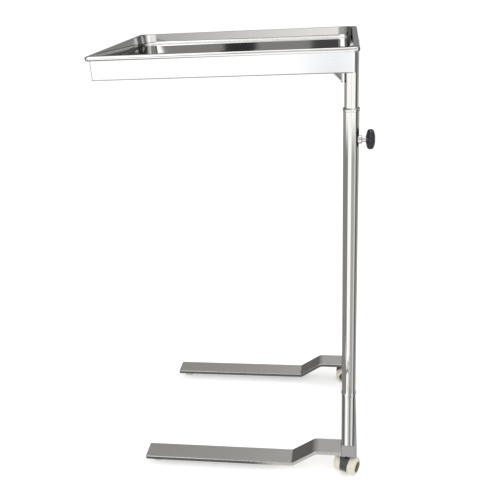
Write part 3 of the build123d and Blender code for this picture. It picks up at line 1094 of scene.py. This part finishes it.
@dataclass(frozen=True)
class SoftLamp:
    """A square lamp that faces the middle of the stand, in metres and watts."""

    name: str
    place: tuple[float, float, float]
    size: float
    watts: float
    aim_height: float = 0.5

    def hang(self) -> None:
        """Makes the lamp and puts it in the scene."""
        data = bpy.data.lights.new(self.name, "AREA")
        data.size = self.size
        data.energy = self.watts
        lamp = bpy.data.objects.new(self.name, data)
        lamp.location = self.place
        aim = Vector((0.0, 0.0, self.aim_height)) - lamp.location
        lamp.rotation_euler = aim.to_track_quat("-Z", "Y").to_euler()
        bpy.context.scene.collection.objects.link(lamp)


@dataclass
class Studio:
    """The floor, the lamps and the room that the metal reflects.

    Tones are (place, tone) pairs along a ramp from 0 to 1, in shares of peak. Near and far are
    distances from the column in metres. Heights in the room are the upward part of a direction of
    length 1, and headings are degrees from the Y axis, either way, towards +X.
    """

    column: Vector
    floor_half: float = 40.0
    paper: Colour = (0.84, 0.84, 0.84)
    peak: float = 1.6
    near: float = 2.2
    far: float = 3.4
    ambient: float = 0.78
    lift: float = 0.38
    warm: Colour = (1.0, 0.985, 0.965)
    around_near: Tones = (
        (0.00, 0.44), (0.03, 0.30), (0.11, 0.21), (0.375, 0.21), (0.395, 0.95), (0.51, 0.95),
        (0.53, 0.37), (0.635, 0.35), (0.655, 0.62), (0.69, 0.60), (0.715, 0.11), (0.775, 0.11),
        (0.80, 0.30), (0.975, 0.30), (1.00, 0.44),
    )
    around_far: Tones = (
        (0.00, 0.34), (0.12, 0.26), (0.26, 0.28), (0.30, 0.95), (0.66, 0.95), (0.70, 0.10),
        (0.775, 0.10), (0.80, 0.36), (1.00, 0.34),
    )
    front_rise: Tones = (
        (0.00, 0.80), (0.10, 0.78), (0.16, 0.24), (0.44, 0.24), (0.52, 0.60), (0.70, 0.60),
        (0.80, 0.36),
    )
    back_rise: Tones = (
        (0.00, 0.15), (0.13, 0.16), (0.19, 0.07), (0.30, 0.09), (0.45, 0.25), (0.70, 0.30),
        (0.90, 0.75),
    )
    patch: Edges = (-0.42, -0.18, -0.02, 0.12)
    patch_share: float = 0.80
    patch_colour: Colour = (0.50, 0.53, 0.57)
    left_stand: Edges = (-10.55, -10.05, -7.75, -7.25)
    right_stand: Edges = (-3.05, -2.55, 0.15, 0.65)
    right_stand_share: float = 0.85
    stand_colour: Colour = (0.008, 0.009, 0.011)
    stand_top_behind: Span = (0.16, 0.24)
    stand_share_behind: float = 0.92
    stand_heights_front: Edges = (0.13, 0.17, 0.40, 0.48)
    stand_share_front: float = 0.9
    dim_headings: Span = (-22.0, 4.0)
    dim_top: Span = (0.10, 0.14)
    dim_share: float = 0.75
    dim_colour: Colour = (0.16, 0.16, 0.155)
    front_span: Span = (-0.1, 0.25)
    striped_heights: Edges = (0.44, 0.52, 0.70, 0.78)
    lamps: tuple[SoftLamp, ...] = (
        SoftLamp("key", (-1.8, -2.2, 2.6), size=2.4, watts=30.0),
        SoftLamp("fill", (2.6, -1.6, 1.8), size=2.0, watts=12.0),
        SoftLamp("top", (0.0, 0.4, 3.2), size=2.6, watts=20.0),
    )

    def build(self) -> None:
        """Makes the floor, the world and the lamps."""
        self._floor()
        self._world()
        for lamp in self.lamps:
            lamp.hang()
        bpy.context.scene.view_settings.view_transform = "Standard"

    def _tone(self, graph: Graph, place: Signal, tones: Tones) -> Signal:
        """Returns the studio's tone along one of its ramps."""
        stops = [(at, tuple(tone * c for c in self.warm)) for at, tone in tones]
        return graph.add("ShaderNodeValToRGB", {"stops": stops}, {0: place})

    @staticmethod
    def _bearing(graph: Graph, east: Signal, north: Signal) -> Signal:
        """Returns the bearing as 0 to 1, with 0.5 towards -Y and 0.75 towards +X."""
        return graph.maths("ARCTAN2", east, 0.0 - north) * (1 / FULL_TURN) + 0.5

    def _floor(self) -> None:
        """Makes the pale floor, which metal sees as a lit studio."""
        half = self.floor_half
        data = bpy.data.meshes.new("floor")
        outline = [(-half, -half, 0), (half, -half, 0), (half, half, 0), (-half, half, 0)]
        data.from_pydata([Vector(c) for c in outline], [], [(0, 1, 2, 3)])
        floor = bpy.data.objects.new("floor", data)
        bpy.context.scene.collection.objects.link(floor)
        material = bpy.data.materials.new("pale_floor")
        graph = Graph(material)
        rays = graph.add("ShaderNodeLightPath")
        tone = self._floor_tone(graph)
        seen = graph.add("ShaderNodeEmission", {}, {"Color": tone, "Strength": self.peak})
        paper = graph.add("ShaderNodeBsdfDiffuse", {}, {"Color": rgba(self.paper)})
        strength = rays.other("Is Camera Ray") * self.lift
        lift = graph.add("ShaderNodeEmission", {}, {"Strength": strength})
        lit = graph.add("ShaderNodeAddShader", {}, {0: paper, 1: lift})
        gloss = rays.other("Is Glossy Ray")
        surface = graph.add("ShaderNodeMixShader", {}, {0: gloss, 1: lit, 2: seen})
        graph.add("ShaderNodeOutputMaterial", {}, {"Surface": surface})
        data.materials.append(material)

    def _floor_tone(self, graph: Graph) -> Signal:
        """Works out what metal sees in the floor, by bearing and distance from the column.

        Args:
            graph: the floor's graph.

        Returns:
            The tone, in shares of peak.
        """
        spot = graph.parts(graph.place())
        east = spot.other("X") - self.column.x
        north = spot.other("Y") - self.column.y
        bearing = self._bearing(graph, east, north)
        reach = graph.maths("SQRT", east * east + north * north).rise(self.near, self.far)
        close = self._tone(graph, bearing, self.around_near)
        distant = self._tone(graph, bearing, self.around_far)
        shadow = east.window(self.patch) * reach
        distant = graph.blend(shadow * self.patch_share, distant, rgba(self.patch_colour))
        return graph.blend(reach, close, distant)

    def _world(self) -> None:
        """Makes the world: white to the camera, a soft studio to metal, plain to the rest."""
        world = bpy.data.worlds.new("studio")
        bpy.context.scene.world = world
        graph = Graph(world)
        rays = graph.add("ShaderNodeLightPath")
        camera, glass = rays.other("Is Camera Ray"), rays.other("Is Transmission Ray")
        gloss = rays.other("Is Glossy Ray")
        white = graph.maths("MAXIMUM", camera, glass)
        colour = graph.blend(gloss, rgba((1.0, 1.0, 1.0)), self._room(graph))
        strength = self.ambient + white * (1.0 - self.ambient) + gloss * (self.peak - self.ambient)
        background = graph.add("ShaderNodeBackground", {}, {"Color": colour, "Strength": strength})
        graph.add("ShaderNodeOutputWorld", {}, {"Surface": background})

    def _room(self, graph: Graph) -> Signal:
        """Works out what metal sees in the room.

        Two dark lamp stands cross the room, the far left of its front is dim, and between the
        striped heights it goes on with the stripes of the near floor.

        Args:
            graph: the world's graph.

        Returns:
            The tone, in shares of peak.
        """
        way = graph.parts(graph.add("ShaderNodeTexCoord", output="Generated"))
        east, north, up = way.other("X"), way.other("Y"), way.other("Z")
        front = self._tone(graph, up, self.front_rise)
        behind = self._tone(graph, up, self.back_rise)
        heading = graph.maths("ARCTAN2", east, abs(north)) * (360 / FULL_TURN)
        right_stand = heading.window(self.right_stand) * self.right_stand_share
        stands = heading.window(self.left_stand) + right_stand
        dark = rgba(self.stand_colour)
        lower = 1.0 - up.rise(*self.stand_top_behind)
        behind = graph.blend(stands * lower * self.stand_share_behind, behind, dark)
        left = 1.0 - heading.rise(*self.dim_headings)
        dim = left * (1.0 - up.rise(*self.dim_top)) * self.dim_share
        front = graph.blend(dim, front, rgba(self.dim_colour))
        middle = up.window(self.stand_heights_front)
        front = graph.blend(stands * middle * self.stand_share_front, front, dark)
        room = graph.blend((0.0 - north).rise(*self.front_span), behind, front)
        stripes = self._tone(graph, self._bearing(graph, east, north), self.around_near)
        return graph.blend(up.window(self.striped_heights), room, stripes)


def main() -> None:
    """Loads the frame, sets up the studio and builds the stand."""
    logging.basicConfig(level=logging.INFO, format="%(name)s: %(message)s")
    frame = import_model()
    Camera().build()
    Studio(middle_of("column")).build()
    wardrobe = Wardrobe(frame["nodes"])
    stand = [Tray(wardrobe), Mast(wardrobe), Clamp(wardrobe), Base(wardrobe)]
    stand += [Caster(wardrobe, place) for place in ("front", "rear")]
    for assembly in stand:
        assembly.dress()
        assembly.build()


if __name__ == "__main__":
    main()
